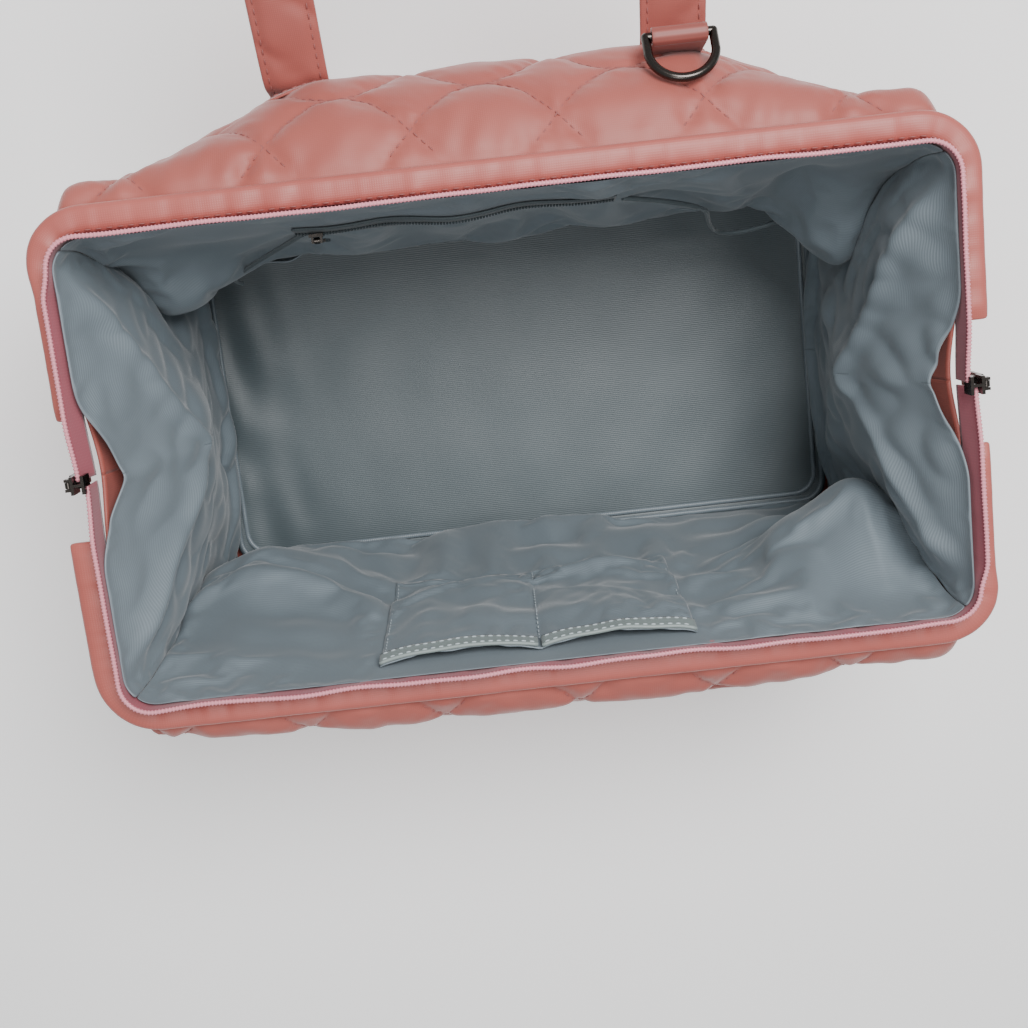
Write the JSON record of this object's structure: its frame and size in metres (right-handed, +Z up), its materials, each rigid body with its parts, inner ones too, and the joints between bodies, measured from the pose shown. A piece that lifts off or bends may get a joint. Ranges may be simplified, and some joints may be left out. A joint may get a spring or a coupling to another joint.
{
  "type": "diaper bag",
  "caption": "Open-mouth quilted diaper bag with a wire-framed zip mouth, folding end gussets, carry handles, strap rings and lined pockets.",
  "frame": {"origin": "centre of the underside of the base panel", "axes": "+X along the length of the bag, +Y from the front wall to the back wall, +Z up"},
  "size_m": [0.414, 0.5172, 0.3006],
  "materials": {
    "quilted_nylon": "satin",
    "lining_satin": "satin",
    "hem_nylon": "satin",
    "zip_tape": "matte",
    "zip_coil": "semi_gloss",
    "gunmetal": "polished",
    "spring_wire": "satin",
    "webbing_pink": "satin",
    "webbing_grey": "matte",
    "elastic_grey": "matte",
    "board_plastic": "matte",
    "inner_zip": "matte"
  },
  "bodies": {
    "bag_base": {"base_panel": "quilted_nylon", "base_board": "board_plastic", "lining_floor": "lining_satin", "base_piping": "quilted_nylon", "outer_end_left": "quilted_nylon", "outer_end_right": "quilted_nylon", "lining_end_left": "lining_satin", "lining_end_right": "lining_satin", "lining_fold_left": "lining_satin", "lining_fold_right": "lining_satin"},
    "wall_back": {"outer_back": "quilted_nylon", "lining_back": "lining_satin", "pocket_back_left": "lining_satin", "pocket_back_right": "lining_satin", "elastic_left": "elastic_grey", "elastic_right": "elastic_grey", "inner_zip_tape": "inner_zip", "handle_patches_back": "quilted_nylon", "ring_tab_back": "webbing_pink"},
    "wall_front": {"outer_front": "quilted_nylon", "lining_front": "lining_satin", "pocket_front": "lining_satin", "pocket_bindings_front": "webbing_grey", "handle_patches_front": "quilted_nylon", "ring_tab_front": "webbing_pink"},
    "frame_back": {"frame_wire_back": "spring_wire", "hem_back": "hem_nylon", "zip_tape_back": "zip_tape", "zip_coil_back": "zip_coil"},
    "frame_front": {"frame_wire_front": "spring_wire", "hem_front": "hem_nylon", "zip_tape_front": "zip_tape", "zip_coil_front": "zip_coil"},
    "zip_slider_left": {"slider_left": "gunmetal"},
    "zip_slider_right": {"slider_right": "gunmetal"},
    "zip_pull_left": {"puller_left": "gunmetal"},
    "zip_pull_right": {"puller_right": "gunmetal"},
    "zip_end_left": {"zip_stop_left": "gunmetal"},
    "zip_end_right": {"zip_stop_right": "gunmetal"},
    "handle_back_loop": {"handle_back": "quilted_nylon"},
    "handle_front_loop": {"handle_front": "quilted_nylon"},
    "ring_back": {"d_ring_back": "gunmetal"},
    "ring_front": {"d_ring_front": "gunmetal"},
    "inner_slider": {"inner_zip_slider": "gunmetal"},
    "inner_pull": {"inner_zip_puller": "gunmetal"}
  },
  "joints": [
    {"name": "mouth_close", "type": "hinge", "parent": "bag_base", "child": "wall_back", "pos_m": [0, 0.105, 0.005], "axis": [1, 0, 0], "range_deg": [0, 23.08], "deforming": ["outer_end_left", "outer_end_right", "lining_fold_left", "lining_fold_right"]},
    {"name": "wall_front_tilt", "type": "hinge", "parent": "bag_base", "child": "wall_front", "pos_m": [0, -0.105, 0.005], "axis": [-1, 0, 0], "range_deg": [0, 23.13]},
    {"name": "frame_back_fold", "type": "hinge", "parent": "wall_back", "child": "frame_back", "pos_m": [0, 0.112, 0.25], "axis": [1, 0, 0], "range_deg": [0, 67.02]},
    {"name": "frame_front_fold", "type": "hinge", "parent": "wall_front", "child": "frame_front", "pos_m": [0, -0.112, 0.25], "axis": [-1, 0, 0], "range_deg": [0, 67.02]},
    {"name": "slider_left_run", "type": "hinge", "parent": "bag_base", "child": "zip_slider_left", "pos_m": [-0.12383, 0, 0.15417], "axis": [0, 1, 0], "range_deg": [0, 90.1]},
    {"name": "slider_right_run", "type": "hinge", "parent": "bag_base", "child": "zip_slider_right", "pos_m": [0.12383, 0, 0.15417], "axis": [0, -1, 0], "range_deg": [0, 90.1]},
    {"name": "pull_left_swing", "type": "hinge", "parent": "zip_slider_left", "child": "zip_pull_left", "pos_m": [-0.2, 0, 0.258], "axis": [0, 1, 0], "range_deg": [0, 100]},
    {"name": "pull_right_swing", "type": "hinge", "parent": "zip_slider_right", "child": "zip_pull_right", "pos_m": [0.2, 0, 0.258], "axis": [0, -1, 0], "range_deg": [0, 100]},
    {"name": "zip_end_left_drop", "type": "slide", "parent": "bag_base", "child": "zip_end_left", "axis": [0, 0, -1], "range_m": [0, 0.1255]},
    {"name": "zip_end_right_drop", "type": "slide", "parent": "bag_base", "child": "zip_end_right", "axis": [0, 0, -1], "range_m": [0, 0.1255]},
    {"name": "handle_back_swing", "type": "hinge", "parent": "wall_back", "child": "handle_back_loop", "pos_m": [0, 0.16671, 0.2], "axis": [1, 0, 0], "range_deg": [-108, 52]},
    {"name": "handle_front_swing", "type": "hinge", "parent": "wall_front", "child": "handle_front_loop", "pos_m": [0, -0.14223, 0.2], "axis": [-1, 0, 0], "range_deg": [0, 158]},
    {"name": "ring_back_swing", "type": "hinge", "parent": "wall_back", "child": "ring_back", "pos_m": [0.084, 0.161, 0.232], "axis": [-1, 0, 0], "range_deg": [0, 55]},
    {"name": "ring_front_swing", "type": "hinge", "parent": "wall_front", "child": "ring_front", "pos_m": [-0.128, -0.13353, 0.2], "axis": [-1, 0, 0], "range_deg": [0, 120]},
    {"name": "inner_zip_run", "type": "slide", "parent": "wall_back", "child": "inner_slider", "axis": [1, 0, 0], "range_m": [0, 0.128]},
    {"name": "inner_pull_swing", "type": "hinge", "parent": "inner_slider", "child": "inner_pull", "pos_m": [-0.084, 0.0922, 0.214], "axis": [-1, 0, 0], "range_deg": [0, 30]}
  ],
  "couplings": [
    {"joint": "wall_front_tilt", "follows": "mouth_close", "ratio": 1},
    {"joint": "frame_back_fold", "follows": "mouth_close", "ratio": 2.8997},
    {"joint": "frame_front_fold", "follows": "mouth_close", "ratio": 2.8997},
    {"joint": "slider_left_run", "follows": "mouth_close", "ratio": 3.8997},
    {"joint": "slider_right_run", "follows": "mouth_close", "ratio": 3.8997},
    {"joint": "zip_end_left_drop", "follows": "mouth_close", "m_per_rad": 0.31032},
    {"joint": "zip_end_right_drop", "follows": "mouth_close", "m_per_rad": 0.31032}
  ]
}
